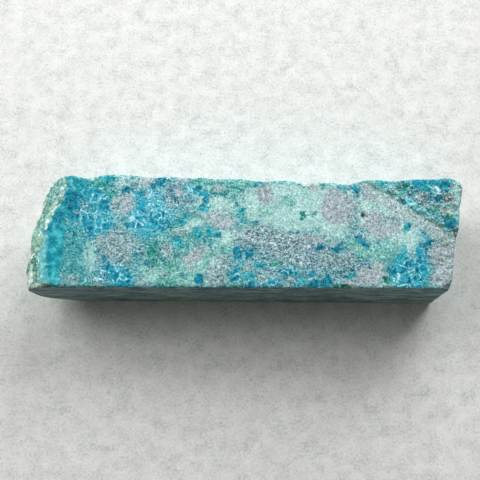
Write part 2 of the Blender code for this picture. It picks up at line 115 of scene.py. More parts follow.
PATCHES = {
    "mint": [
        (9.6, 6.0, 11.0, 6.0, -8), (20.1, 2.5, 5.0, 3.6, -20), (17.6, 8.5, 3.0, 4.5, 0),
        (-8.4, -7.5, 4.2, 1.6, 35), (-12.9, 1.0, 3.5, 1.3, 20), (-6.9, 6.5, 4.6, 1.8, -10),
        (-4.9, -2.4, 2.6, 2.4, 0), (38.8, -2.5, 3.0, 3.4, 10), (32.1, 5.6, 5.0, 1.3, -12),
        (-36.8, -6.5, 1.1, 3.4, 0), (-30.4, 12.8, 1.6, 1.0, 0), (-21.9, -11.5, 2.2, 1.6, 0),
        (-13.9, -13.0, 2.4, 1.2, 0), (-37.9, 13.2, 1.6, 0.8, 0), (51.6, 11.3, 1.2, 1.8, 0),
        (51.8, 6.4, 1.2, 4.0, 4), (-9.4, -13.0, 1.6, 1.0, 0), (21.6, -0.6, 2.6, 1.4, 0),
        (45.4, -0.5, 1.6, 1.6, 0),
    ],
    "green": [
        (-2.4, 11.2, 1.5, 1.1, 0), (-11.4, 12.6, 1.6, 0.8, 0), (-18.0, -13.2, 2.6, 1.2, 0),
        (-22.3, -5.2, 1.3, 1.9, 20), (10.6, 6.7, 0.9, 0.6, 20), (13.7, 3.6, 0.7, 0.8, 0),
        (16.7, 4.2, 0.6, 0.6, 0), (-32.7, 8.9, 1.3, 1.0, 25), (-36.3, 11.4, 2.4, 0.9, -8),
        (27.8, -6.6, 1.0, 0.7, -20), (31.8, -6.6, 1.2, 0.8, 0), (35.8, -8.6, 0.9, 0.8, 0),
        (38.6, 11.4, 2.2, 0.9, 0), (41.7, -11.2, 0.8, 1.0, 0), (-18.2, -9.2, 1.3, 0.8, 10),
        (32.1, 11.3, 1.7, 0.9, 0), (7.6, -8.2, 1.6, 0.6, 0), (12.0, -8.8, 1.8, 0.6, -10),
        (44.8, 5.3, 1.6, 0.9, -8), (35.2, 9.8, 1.3, 0.8, -20), (18.9, 11.4, 0.9, 0.7, 0),
        (0.6, 11.4, 1.2, 0.6, 0), (-44.9, 12.9, 0.9, 0.7, 0), (37.5, 9.2, 1.2, 0.8, 20),
        (-31.2, -13.3, 1.2, 0.7, 0), (-37.0, -13.5, 1.4, 0.6, 0), (33.6, -12.2, 1.6, 0.8, 0),
    ],
    "teal": [
        (-16.6, -3.1, 1.4, 2.0, 10), (-11.6, -0.7, 1.0, 1.4, 10), (-8.4, -0.8, 1.5, 1.0, 0),
        (-14.6, 3.0, 1.2, 0.9, 0), (-16.0, 1.4, 1.4, 0.8, 0), (-9.6, 5.2, 1.5, 0.9, 0),
        (2.9, 2.0, 1.3, 0.6, 0), (3.4, 11.3, 1.4, 0.8, 10), (23.4, 10.8, 1.3, 0.6, 0),
        (-33.9, 12.8, 2.0, 0.9, 0), (-39.9, 10.8, 1.6, 0.8, 0), (-4.8, -5.2, 1.0, 0.7, -20),
        (11.6, -10.6, 1.3, 0.8, 0), (13.8, -12.2, 1.1, 1.0, 0), (-4.0, -11.0, 0.9, 1.4, 0),
        (-0.8, 4.8, 1.1, 0.5, 30), (-1.4, 2.2, 0.8, 0.5, 0), (38.9, 1.3, 0.9, 1.6, -20),
        (-27.4, -6.5, 1.6, 1.0, 0), (2.8, -8.6, 1.6, 0.8, 0), (25.4, -11.0, 2.2, 0.7, 15),
        (33.4, 11.8, 1.8, 0.6, 0), (1.2, -11.2, 1.8, 0.9, 0), (37.4, -5.6, 0.8, 2.0, -10),
        (-44.0, 0.3, 2.4, 0.9, -10),
    ],
    "blue": [
        (-41.8, 7.4, 2.7, 2.7, 30), (-37.4, 9.4, 1.8, 0.9, -10), (-35.4, 8.9, 2.0, 0.9, 10),
        (-41.2, 3.4, 1.8, 1.0, -20), (-37.9, 0.6, 1.7, 2.9, 8), (-45.4, 3.2, 1.5, 2.0, 32),
        (-42.8, 11.6, 1.7, 1.4, 0), (-36.2, 2.2, 1.3, 1.2, 0), (-34.2, 5.9, 1.5, 2.2, -20),
        (-33.4, 1.2, 1.6, 0.9, 0), (-36.7, -1.0, 0.7, 1.2, 0), (-25.6, 2.5, 1.8, 1.7, 0),
        (-25.0, 5.8, 0.9, 1.6, 0), (-22.0, 3.0, 1.5, 1.5, 20), (-21.0, 1.1, 1.2, 1.1, 0),
        (-19.8, 4.6, 1.4, 1.0, 0), (-27.6, 1.2, 1.4, 0.8, 0), (-22.1, 10.9, 0.9, 0.9, 0),
        (-20.6, 12.4, 1.4, 0.8, 20), (-23.6, 0.2, 1.8, 0.7, 0), (-18.8, 1.4, 1.1, 1.2, 0),
        (-9.3, 7.3, 0.8, 1.4, 0), (-11.6, 10.8, 1.0, 0.9, 0), (-32.4, -9.3, 1.5, 1.2, -40),
        (-31.0, -11.2, 1.8, 1.2, -30), (-28.4, -12.2, 2.0, 2.4, 0), (-33.4, -7.0, 0.8, 0.7, 0),
        (-10.8, -12.5, 1.1, 1.4, 0), (-2.0, -4.9, 1.4, 1.0, -10), (-1.4, -7.2, 0.8, 1.2, 10),
        (1.0, -5.9, 1.2, 0.9, 0), (-2.0, -11.4, 1.0, 1.8, 0), (6.8, -12.8, 1.7, 0.9, 0),
        (12.2, -13.2, 1.0, 0.9, 0), (17.0, -13.2, 1.8, 0.9, 0), (19.6, -12.6, 1.2, 1.6, 0),
        (1.8, -13.2, 1.2, 0.8, 0), (-6.4, -1.4, 0.8, 0.9, 0), (27.0, 10.2, 0.7, 1.4, 0),
        (28.0, -2.8, 1.5, 0.8, -45), (21.9, -4.8, 1.3, 0.8, 0), (17.4, -4.3, 1.2, 0.6, 0),
        (42.3, 12.3, 1.7, 1.2, 0), (48.8, 11.4, 1.5, 1.6, 0), (49.2, 2.2, 2.0, 1.3, -40),
        (41.8, -5.6, 1.0, 2.3, 8), (37.2, -9.0, 1.5, 1.4, 0), (39.4, -10.4, 2.0, 1.8, 0),
        (39.0, -12.8, 1.4, 1.2, 20), (41.2, -8.8, 1.3, 1.0, 0), (47.0, 8.6, 0.9, 0.9, 0),
        (45.2, 8.0, 0.5, 0.6, 0), (38.0, 7.2, 1.1, 0.7, -20), (43.5, -3.2, 0.7, 1.2, -55),
        (1.2, -13.4, 0.8, 0.6, 0), (-29.0, 10.0, 1.4, 0.6, 0), (10.0, -10.6, 1.2, 0.7, 0),
        (15.6, -10.6, 1.0, 0.8, 0), (34.8, -10.0, 1.0, 1.2, 20), (-26.2, 9.2, 1.2, 0.6, 0),
        (4.8, -13.6, 0.8, 0.5, 0),
    ],
    "hazy": [(-42.0, 0.8, 3.8, 1.7, -8), (-39.7, -6.6, 4.6, 7.2, -2), (-39.2, -12.0, 4.4, 2.0, 0)],
    "slate": [
        (-30.0, 9.4, 2.2, 0.9, -8), (-18.0, 8.4, 2.4, 3.0, 0), (-24.6, -5.0, 1.4, 1.4, 0),
        (-34.0, -9.4, 1.4, 3.0, 10), (3.8, -5.0, 3.6, 2.0, -15), (14.8, -5.6, 4.2, 1.3, -8),
        (25.4, 3.4, 0.9, 2.4, -20), (4.8, -11.2, 4.0, 1.2, 0), (-40.0, 4.4, 2.0, 2.4, 20),
        (34.4, 3.0, 2.4, 1.0, 0), (-23.9, 9.6, 2.6, 1.0, 0), (-13.4, 7.4, 2.4, 1.6, 0),
        (17.6, -7.2, 3.2, 1.6, 0), (26.2, -8.8, 3.0, 1.0, 15), (46.6, -4.4, 1.8, 1.0, 0),
        (-1.8, -2.8, 1.8, 1.4, 0), (8.2, 1.4, 2.2, 0.7, 48), (26.9, 6.8, 0.5, 2.2, 0),
        (13.0, -8.2, 5.0, 1.8, 0),
    ],
    "fresh": [
        (29.4, -5.4, 4.4, 1.6, -14), (25.8, -3.4, 1.6, 1.6, 0), (-13.6, -12.8, 4.4, 1.3, 0),
        (-19.0, -11.6, 3.6, 1.6, 0), (-9.0, -7.0, 1.0, 4.2, -36), (-4.6, -4.6, 2.4, 1.0, 30),
        (34.4, -3.6, 2.0, 1.4, 0), (-8.0, 12.6, 3.0, 0.9, 0), (-3.4, 8.4, 1.2, 1.4, 0),
        (10.4, 7.2, 1.8, 1.2, 30), (-0.6, 12.0, 2.0, 0.9, 0), (4.8, 5.0, 1.6, 0.7, 20),
        (-16.0, -9.0, 2.0, 1.4, 0),
    ],
    "bladed": [
        (1.6, -2.0, 3.6, 2.0, -10), (8.4, -3.4, 5.6, 2.6, -10), (15.4, -4.4, 4.0, 1.6, -8),
        (5.2, 0.0, 2.4, 1.0, -30), (12.0, -7.0, 4.0, 1.4, -8),
    ],
    "veiled": [
        (43.6, 8.2, 3.2, 1.5, -10), (-33.0, -2.6, 2.8, 2.2, 0), (-29.2, -3.6, 2.2, 2.4, 0),
        (-29.4, -8.0, 1.8, 2.0, 0), (-34.0, -12.4, 2.0, 1.4, 0), (-24.6, -13.0, 1.9, 1.0, 0),
        (-6.6, -11.4, 2.8, 2.9, 0), (-4.6, -7.4, 1.8, 1.2, 0), (-15.6, -0.6, 1.6, 1.0, 0),
        (23.6, -7.0, 2.6, 2.0, 0), (-38.6, 6.8, 1.0, 1.2, 0), (-31.2, 5.6, 1.5, 1.6, 0),
        (-41.2, -12.4, 1.6, 1.2, 0), (-19.4, -11.0, 1.0, 0.7, 0), (-0.4, -9.9, 1.0, 0.7, 0),
        (17.6, -9.0, 1.2, 1.0, 0), (10.6, -12.8, 1.4, 1.2, 0), (20.6, -7.6, 3.4, 1.8, 0),
        (4.2, -11.4, 1.4, 1.2, 0), (-18.6, -5.2, 1.6, 2.4, 10), (0.6, -9.0, 1.2, 1.0, 0),
        (-30.6, -6.0, 3.4, 3.8, 0), (34.6, 2.4, 1.8, 1.2, -20),
    ],
    "quartz": [
        (-28.3, 6.4, 1.9, 2.4, 15), (-23.4, 8.4, 1.4, 1.0, 0), (-12.3, -6.8, 1.9, 3.6, -38),
        (-5.6, 2.1, 3.2, 1.7, -10), (22.4, 5.4, 4.4, 4.3, 0), (32.6, 1.3, 4.4, 3.2, -15),
        (-24.0, 12.2, 1.7, 1.0, 0), (-15.8, 12.9, 1.6, 0.8, 0), (4.8, 8.7, 2.2, 2.6, 0),
        (29.6, -11.2, 3.6, 2.2, 6), (47.2, -6.4, 3.0, 4.0, 0), (49.2, 8.0, 1.5, 1.8, 0),
        (30.0, 9.6, 1.6, 2.2, 30), (37.0, 5.4, 4.6, 1.2, -36), (44.2, 1.2, 3.4, 0.9, -38),
        (14.8, -1.9, 5.6, 1.0, -6), (47.0, -11.0, 2.6, 2.4, 0), (16.8, 11.0, 1.6, 0.9, 0),
        (-15.8, 9.4, 1.2, 0.7, 0), (-6.6, 11.0, 1.3, 0.8, 0), (31.4, -9.0, 1.6, 1.0, 0),
        (21.2, 9.6, 2.6, 1.0, 0), (25.0, -12.6, 2.2, 0.8, 0), (39.8, -6.4, 0.9, 0.9, 0),
    ],
    "olive": [(-38.6, 6.6, 1.3, 1.6, 0), (50.6, -0.6, 1.6, 0.8, -25), (48.8, 8.0, 1.2, 0.9, 0)],
    "knob": [(-50.6, -2.4, 1.7, 2.7, 10), (-50.3, -9.8, 0.8, 2.2, 0), (-47.9, 4.0, 0.7, 2.2, -18)],
    "moss": [
        (22.2, -13.5, 2.2, 0.5, 0), (38.8, -13.7, 0.9, 0.5, 0), (33.2, -11.6, 0.8, 0.6, 0),
        (-51.4, -6.6, 0.7, 1.5, 10), (-50.4, -8.6, 0.45, 2.4, 14), (-46.8, -13.9, 2.2, 0.3, -6),
        (48.8, 3.4, 1.8, 0.6, 0),
    ],
    "cream": [
        (-38.4, 13.3, 1.4, 0.5, 0), (14.2, 12.2, 1.3, 0.6, 0), (-48.6, -13.8, 2.2, 0.7, 0),
        (-51.4, -10.6, 0.8, 3.4, 0), (-49.6, 8.6, 0.4, 2.6, -8),
    ],
    # the pit is painted near black: painted shade in its hollow
    "pit": [(*PIT, 0.2, 0.28, 20)],
}
STREAKS = {
    "veiled": [(0.3, [(27.4, 9.6), (27.1, 6.1), (26.0, 3.5), (25.1, 0.9), (26.6, -1.2)])],
    "cyan": [
        (2.2, [(-45.6, -1.6), (-45.8, -4.5), (-46.1, -8.5), (-46.4, -11.6), (-46.1, -13.4)]),
        (1.1, [(-43.4, 12.4), (-42.0, 10.6)]), (0.8, [(-10.6, 9.2), (-9.2, 8.6)]),
        (0.7, [(48.5, 11.9), (49.2, 11.1)]), (0.5, [(41.8, 12.3), (43.4, 12.0)]),
    ],
    "slate": [
        (0.22, [(-46.6, 12.4), (-47.4, 9.6), (-48.2, 6.4), (-49.4, 2.6)]),
        (0.18, [(-48.4, 10.0), (-49.4, 5.6)]), (0.2, [(-45.8, 11.0), (-46.8, 7.0), (-47.9, 3.6)]),
    ],
    "rime": [
        (0.55, [(-49.6, -1.0), (-48.7, 0.5), (-47.6, 2.6)]), (0.7, [(-48.9, -0.2), (-48.3, 0.7)]),
        (0.4, [(-47.6, 2.6), (-46.4, 5.4), (-45.6, 8.0)]),
        (0.3, [(-45.6, 8.0), (-45.0, 10.8), (-45.4, 12.6)]), (0.45, [(-52.0, -6.3), (-51.0, -5.4)]),
        (0.2, [(-49.2, -4.0), (-49.7, -8.0), (-48.6, -12.0)]), (0.35, [(-49.6, -13.2), (-47.8, -13.6)]),
        (0.3, [(-39.6, 13.4), (-37.0, 13.6)]), (0.25, [(43.6, 12.4), (44.6, 11.4)]),
        (0.3, [(44.6, 12.2), (45.8, 10.4)]), (0.7, [(48.4, 10.0), (50.2, 9.6)]),
        (0.6, [(46.8, 11.4), (47.2, 9.8)]), (0.5, [(36.0, 10.2), (37.0, 9.6)]),
        (1.0, [(47.8, 5.3), (49.4, 5.1)]), (0.2, [(-38.6, 4.0), (-37.9, 3.2)]),
    ],
    "shallow": [
        (0.4, [(-43.4, 12.2), (-42.2, 10.8)]),
        (1.0, [(-48.2, -2.6), (-48.6, -6.0), (-48.4, -10.4), (-47.4, -12.8)]),
        (0.9, [(41.6, 6.2), (42.8, 5.4)]),
    ],
    "milky": [
        (0.13, [(-35.6, -6.4), (-36.0, -8.8), (-37.0, -11.0), (-38.0, -12.8)]),
        (0.05, [(-36.2, -1.6), (-35.6, -6.4)]),
        (0.16, [(-39.6, 3.6), (-39.8, 1.2), (-39.0, -1.2), (-37.0, -1.9)]),
        (0.18, [(-37.8, 6.8), (-36.2, 7.6), (-34.6, 9.2), (-33.6, 9.8)]),
        (0.2, [(-36.0, 4.8), (-34.4, 4.3), (-33.0, 3.6)]),
        (0.2, [(-36.8, 4.4), (-36.4, 2.2), (-35.4, 0.4)]),
        (0.06, [(-42.2, 9.9), (-39.4, 9.9), (-36.8, 10.4)]),
        (0.3, [(-23.6, 6.2), (-23.3, 4.0), (-23.9, 1.6)]),
        (0.2, [(-23.8, 4.2), (-21.4, 5.0), (-19.6, 6.2)]),
        (0.18, [(-27.0, 3.8), (-24.8, 4.0), (-23.6, 3.2)]),
        (0.2, [(-28.2, 0.6), (-26.0, -0.2), (-24.0, 0.2), (-22.0, -0.9), (-20.4, -0.2)]),
        (0.16, [(38.8, -8.8), (40.2, -10.2), (39.2, -12.0)]),
        (0.14, [(37.4, -10.6), (39.4, -9.8), (41.0, -10.4)]),
        (0.14, [(40.6, -7.0), (40.2, -9.2), (40.7, -10.6)]), (0.14, [(-29.0, -11.0), (-29.8, -12.4)]),
        (0.05, [(-45.3, 12.8), (-43.8, 10.2), (-45.8, 7.0)]),
        (0.14, [(47.6, 12.6), (46.6, 10.6), (47.4, 9.6)]),
        (0.2, [(44.2, 12.2), (45.2, 11.2), (46.2, 10.2)]), (0.2, [(49.8, 11.4), (50.6, 10.6)]),
    ],
}

# Where the natural skin meets the sawn top, as (y, x) in mm.
CRUST_INNER = [
    (-14.3, -46.9), (-12, -48.4), (-9, -49.6), (-6, -49.4), (-3, -48.6), (0, -48.8), (2, -48),
    (4, -46.4), (6, -45.2), (9, -44.3), (12, -44.0), (14.3, -43.4),
]

# Minerals from the first laid down to the last. For each: its pattern size (mm), how far its edge
# frays and how softly it ends (mm), how grainy it looks when sawn, and its colours from dark to pale
# with where they come in the pattern. The ground has only the colours.
GROUND = [(0.26, "#368792"), (0.42, "#5ea8b0"), (0.58, "#85bfc1"), (0.74, "#b0d8d7")]
TINTS = [
    ("ashen", 1.5, 1.2, 1.5, 0.9, [(0.28, "#84a5a9"), (0.48, "#a6c4c7"), (0.72, "#cbe0e0")]),
    ("verdant", 1.7, 1.2, 1.5, 0.95, [(0.28, "#307c7e"), (0.48, "#5ca3a1"), (0.72, "#98cdc8")]),
    ("dusk", 1.1, 1.2, 1.5, 1.1, [(0.28, "#33707c"), (0.48, "#6899a4"), (0.72, "#b0ced4")]),
    ("deep", 1.4, 1.2, 1.3, 0.6, [(0.28, "#0a7080"), (0.48, "#1590a0"), (0.72, "#48bac4")]),
    ("aqua", 1.2, 1.2, 1.5, 1.0, [(0.28, "#2b98ac"), (0.48, "#6bc3d1"), (0.72, "#b0e6ec")]),
]
MINERALS = [
    ("hazy", 1.5, 0.3, 0.3, 0.85, [(0.28, "#2f8790"), (0.5, "#4d9ea5"), (0.74, "#80c2c2")]),
    ("slate", 0.9, 0.9, 0.5, 1.05, [(0.3, "#32697a"), (0.5, "#6a9aa8"), (0.72, "#bdd6dd")]),
    ("mint", 1.6, 0.8, 0.8, 0.6, [(0.28, "#99c8c5"), (0.52, "#acd5d2"), (0.74, "#c0e1de")]),
    ("green", 1.0, 0.5, 0.28, 0.9, [(0.3, "#14766e"), (0.5, "#389a92"), (0.74, "#78c4b9")]),
    ("teal", 1.2, 0.45, 0.25, 0.7, [(0.34, "#00788a"), (0.5, "#1c9dab"), (0.68, "#5fc8cf")]),
    ("quartz", 0.8, 0.6, 0.5, 0.75, [(0.26, "#849aa0"), (0.5, "#a3b5bb"), (0.74, "#c3d1d5")]),
    ("fresh", 1.4, 0.8, 0.7, 0.75, [(0.28, "#549f99"), (0.5, "#78bab3"), (0.72, "#a4d6cf")]),
    ("bladed", 1.0, 0.9, 0.6, 1.2, [(0.28, "#567a86"), (0.5, "#8facb5"), (0.72, "#c6d9de")]),
    ("veiled", 0.9, 0.7, 0.6, 1.0, [(0.28, "#688e95"), (0.5, "#88a9ae"), (0.72, "#adcacb")]),
    ("pale", 0.9, 0.5, 0.35, 0.8, [(0.26, "#8aa9ab"), (0.5, "#a6bfc1"), (0.74, "#c5d6d7")]),
    ("blue", 1.0, 0.35, 0.17, 0.45, [(0.36, "#00566c"), (0.5, "#007892"), (0.66, "#22a0ba")]),
    ("cyan", 2.6, 0.25, 0.18, 0.4, [(0.3, "#067083"), (0.5, "#1793a4"), (0.72, "#55c2cc")]),
    ("shallow", 1.2, 0.3, 0.4, 0.35, [(0.28, "#389fac"), (0.5, "#62b9c1"), (0.72, "#98d5d5")]),
    ("crust", 1.1, 0.3, 0.2, 0.85, [(0.28, "#48756f"), (0.5, "#78a99f"), (0.7, "#bbd7cf")]),
    # olive also colours the line just past the fracture, which is partly painted shadow
    ("olive", 1.0, 0.5, 0.35, 0.9, [(0.28, "#3c524f"), (0.5, "#5f7a75"), (0.76, "#8fa49a")]),
    ("knob", 1.2, 0.5, 0.35, 0.7, [(0.28, "#6ea08a"), (0.5, "#90bfaa"), (0.74, "#bcdece")]),
    ("cream", 0.8, 0.6, 0.35, 0.6, [(0.26, "#b4cdbb"), (0.5, "#d5ead9"), (0.76, "#f5fbf3")]),
    ("moss", 0.8, 0.4, 0.25, 0.6, [(0.26, "#1a5a4e"), (0.5, "#33796c"), (0.76, "#66a492")]),
    ("seam", 1.0, 0.4, 0.25, 0.7, [(0.28, "#0d5a5f"), (0.5, "#1c7f82"), (0.74, "#45a5a2")]),
    ("milky", 0.7, 0.15, 0.13, 0.3, [(0.2, "#6fc6da"), (0.5, "#9adae8"), (0.8, "#d6f1f7")]),
    ("rime", 0.6, 0.6, 0.2, 0.4, [(0.26, "#a9d4d0"), (0.5, "#d2ebe7"), (0.74, "#f5fcfa")]),
    # near black: painted shade in the pit's hollow
    ("pit", 0.5, 0.0, 0.06, 0.2, [(0.3, "#0e1517"), (0.5, "#182326"), (0.7, "#2c3a3e")]),
]
FILM = [("film", 1.4, 0.15, 0.15, 0.45, [(0.32, "#4f6b70"), (0.5, "#779092"), (0.7, "#9fb5b2")])]

# Small flecks: size (mm), share of the surface, colour. The grey ones lie under the tints, the deep
# blue ones over them.
GREY_FLECKS = [(1.7, 0.25, "#93a8ae")]
DEEP_FLECKS = [(1.3, 0.2, "#17899a"), (1.5, 0.1, "#027592")]


def srgb(code, alpha=1.0):
    """A colour written as sRGB hex, in the linear values that shaders use."""
    parts = [int(code[i : i + 2], 16) / 255 for i in (1, 3, 5)]
    return (*[p / 12.92 if p <= 0.04045 else ((p + 0.055) / 1.055) ** 2.4 for p in parts], alpha)


def top_height(x):
    """Height of the sawn top above the base, in mm."""
    return TOP_RIGHT - TOP_DROP * np.clip((LENGTH / 2 - x) / LENGTH, 0, 1)


def past_fracture(points):
    """Distance past the fracture plane towards the drusy corner, in mm."""
    a, b = np.array(FRACTURE_FROM), np.array(FRACTURE_TO)
    along = (b - a) / np.linalg.norm(b - a)
    return (points[:, :2] - a) @ np.array([-along[1], along[0]])


def ease(value, low, high):
    """0 below low, 1 above high, and a smooth rise between."""
    t = np.clip((value - low) / (high - low), 0, 1)
    return t * t * (3 - 2 * t)


def unevenness(points, size, seed, octaves=3):
    """Stony noise from about -1 to 1 with lumps of this size in mm, one value a point."""
    offset = Vector((seed * 7.3, seed * 3.1, seed))
    values = (noise.fractal(Vector(p) / size + offset, 1.0, 2.0, octaves) for p in points)
    return np.fromiter(values, float, len(points))


def drift(points, size, seed):
    """A smooth random shift in X and Y, one pair a point."""
    noise.seed_set(DRIFT_SEED)  # without a seed, noise_vector starts from the clock
    offset = Vector((seed * 5.7, seed, seed * 2.9))
    return np.array([noise.noise_vector(Vector(p) / size + offset)[:2] for p in points])


def laid_out(points):
    """Where each point of the surface lies on the plan of the top, given the slant of the minerals."""
    down = np.maximum(top_height(points[:, 0]) - points[:, 2] - TOP_LAYER, 0)[:, None]
    plan = points[:, :2] + down * np.array(SLANT)
    # they wander more the deeper they are, and everywhere their edges waver
    plan += drift(points, 7.0, seed=1) * np.minimum(down, 10) * 0.7
    return plan + drift(points, 3.2, seed=2) * 0.6 + drift(points, 1.2, seed=3) * 0.5


def patch_depth(plan, patches, streaks):
    """How far inside the nearest patch or streak each point lies, in mm, and less than zero outside."""
    depth = np.full(len(plan), -REACH)
    for x, y, long, short, turn in patches:
        c, s = math.cos(math.radians(turn)), math.sin(math.radians(turn))
        dx, dy = plan[:, 0] - x, plan[:, 1] - y
        u, v = (dx * c + dy * s) / long, (dy * c - dx * s) / short
        depth = np.maximum(depth, (1 - np.hypot(u, v)) * min(long, short))
    for half_width, line in streaks:
        for a, b in zip(np.array(line), np.array(line[1:])):
            step = b - a
            share = np.clip(((plan - a) @ step) / (step @ step), 0, 1)[:, None]
            depth = np.maximum(depth, half_width - np.linalg.norm(plan - a - share * step, axis=1))
    return np.clip(depth, -REACH, REACH)


def surface_kinds(points, normals):
    """How a saw, a break or growth left each point, as values from 0 to 1."""
    x, y, z = points.T
    below = top_height(x) - z
    # natural skin covers the left end, but not what the saw left of it: top, front and base
    skin = ease(below, 0.05, 0.4) * ease(-x, 42.5, 44.5) * ease(y, -14.25, -14.0) * ease(z, 0.1, 0.5)
    # druse covers the top past the fracture
    druse = ease(past_fracture(points), 0.3, 0.8) * ease(normals[:, 2], 0.1, 0.5) * ease(z, 16.0, 17.5)
    # the front and the base were sawn and left with a film, and what is neither sawn nor grown is broken
    front = ease(-normals[:, 1], 0.7, 0.9) * ease(-y, 13.9, 14.15)
    under = ease(-normals[:, 2], 0.7, 0.95) * ease(-z, -0.4, -0.1)
    film = np.maximum(front, under)
    top = ease(normals[:, 2], 0.8, 0.95) * (1 - skin) * (1 - druse)
    broken = (1 - skin) * (1 - druse) * (1 - film) * (1 - top)
    # the top is rippled and rough at its right front corner
    hackly = top * ease(x, 43.2, 45.2) * ease(-y, 1.0, 2.6)
    return {"skin": skin, "druse": druse, "film": film, "top": top, "broken": broken, "hackly": hackly}


def finely_remeshed(node):
    """A closed mesh of small even faces in the shape of a CAD solid."""
    mesh = bpy.data.meshes.new("fine")
    bm = bmesh.new()
    bm.from_mesh(node.data)
    bmesh.ops.remove_doubles(bm, verts=bm.verts, dist=1e-6)
    bm.to_mesh(mesh)
    bm.free()
    helper = bpy.data.objects.new("fine", mesh)
    bpy.context.scene.collection.objects.link(helper)
    remesh = helper.modifiers.new("remesh", "REMESH")
    remesh.mode = "VOXEL"
    remesh.voxel_size = VOXEL * MM
    fine = bpy.data.meshes.new_from_object(helper.evaluated_get(bpy.context.evaluated_depsgraph_get()))
    bpy.data.objects.remove(helper)
    return fine


def read(mesh, what):
    """The positions ("co") or normals ("normal") of a mesh, one row a vertex."""
    values = np.empty(len(mesh.vertices) * 3, np.float32)
    mesh.vertices.foreach_get(what, values)
    return values.reshape(-1, 3).astype(float)


def cobbles(points, size, seed):
    """Rounded lumps of this size in mm: 0 in the cracks between them and about 0.5 on the lumps."""
    offset = Vector((seed * 3.3, seed * 8.1, seed))
    gaps = (noise.voronoi(Vector(p) / size + offset)[0] for p in points)
    return np.fromiter((second - first for first, second, *_ in gaps), float, len(points)).clip(0, 0.6)


def relief(points, kinds):
    """How far saw, break and growth left the surface out of true, in mm along the normal."""
    x, y, z = points.T
    lumps = unevenness(points, 2.2, seed=1)
    grit = unevenness(points, 0.75, seed=2)
    slanted = points @ np.array([[0.8, 0, 0], [0.6, 2.2, 0], [0, 0, 1]])
    ripples = np.abs(unevenness(slanted, 1.5, seed=4, octaves=2))

    # the skin is layered behind the middle of the bar and lumpy in front of it
    leaning = points.copy()
    leaning[:, 0] -= 0.32 * np.maximum(y, 0)
    layers = np.abs(unevenness(leaning * np.array([2.8, 0.35, 2.2]), 2.4, seed=5, octaves=2))
    behind = ease(y, -3, 1)
    rocky = np.maximum(kinds["skin"], kinds["druse"]) > 0.01
    bumps = np.zeros(len(points))
    bumps[rocky] = cobbles(points[rocky], 1.7, seed=6) - 0.25
    skin = 0.2 * lumps + 0.12 * grit - (0.25 + 0.75 * behind) * layers + 0.5 * bumps * (1 - behind)

    # the sawn top is nearly flat, and the lower edge of the front is worn
    height = 0.02 * grit * kinds["top"]
    foot = ease(-np.hypot(y + DEPTH / 2, z), -1.3, 0.0) * kinds["film"]
    height -= foot * (0.45 + 0.35 * unevenness(points, 4.0, seed=11, octaves=2))
    height += kinds["skin"] * skin
    height += kinds["broken"] * (0.14 * lumps + 0.09 * grit)
    height += kinds["druse"] * (0.16 * lumps + 0.12 * grit + 0.5 * bumps)
    height += kinds["hackly"] * (0.1 * lumps - 0.55 * ripples + 0.14 * grit)
    height -= 0.8 * ease(-np.hypot(x - PIT[0], y - PIT[1]), -0.4, -0.15)
    return height, bumps


def carved_stone():
    """The bar with its fine relief and a value of every mineral at each vertex."""
    mesh = finely_remeshed(BAR)
    points, normals = read(mesh, "co") / MM, read(mesh, "normal")
    kinds = surface_kinds(points, normals)
    height, bumps = relief(points, kinds)
    points += normals * height[:, None]
    points = np.clip(points, np.array(CAD_LOW) / MM, np.array(CAD_HIGH) / MM)
    mesh.vertices.foreach_set("co", (points * MM).ravel().astype(np.float32))
    plan = laid_out(points)
    names = [name for name, *_ in MINERALS]
    values = {name: patch_depth(plan, PATCHES.get(name, []), STREAKS.get(name, [])) for name in names}
    values.update({name: patch_depth(plan, patches, []) for name, patches in ZONES.items()})

    # a pale band before the healed fracture, right of x = 30, and an olive line just past it, which is
    # partly an olive vein and partly painted shadow along the foot of the fracture's step
    x, y, z = points.T
    past = past_fracture(points)
    values["pale"] = 1.15 - np.abs(past + 1.25) - 2 * ease(-x, -31, -28)
    values["olive"] = np.maximum(values["olive"], 0.42 - np.abs(past - 0.5))

    # crust on the natural skin and on the top beside it, but not on the sawn front and base
    inner = np.interp(plan[:, 1], *zip(*CRUST_INNER))
    beside = np.where(kinds["film"] > 0.5, -REACH, inner - plan[:, 0])
    values["crust"] = np.maximum((kinds["skin"] - 0.5) * 2, np.clip(beside, -REACH, REACH))

    # a broken dark seam along the top's front edge, and breaks in the rime
    edge = np.hypot(y + DEPTH / 2, np.maximum(top_height(x) - z, 0))
    values["seam"] = 0.22 - edge + 0.25 * unevenness(points, 3.0, seed=8, octaves=2)
    values["rime"] += 0.5 * unevenness(points, 1.6, seed=12, octaves=2) - 0.45

    values["film"] = (kinds["film"] - 0.5) * 2
    values["druse"] = kinds["druse"]
    # painted shade: how deep each point lies in a crack between the druse lumps, to darken it there
    values["gaps"] = kinds["druse"] * ease(-bumps, 0.02, 0.22)
    values["rough"] = np.clip(kinds["skin"] + kinds["broken"] + kinds["druse"] + kinds["hackly"], 0, 1)
    for name, value in values.items():
        layer = mesh.attributes.new(name, "FLOAT", "POINT")
        layer.data.foreach_set("value", value.astype(np.float32))
    mesh.shade_smooth()
    return mesh


def piece(name, mesh, material):
    """A finished piece of the bar: in the scene, riding with the stone."""
    mesh.name = name
    mesh.materials.clear()
    mesh.materials.append(material)
    obj = bpy.data.objects.new(name, mesh)
    bpy.context.scene.collection.objects.link(obj)
    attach(obj, "root")
    return obj


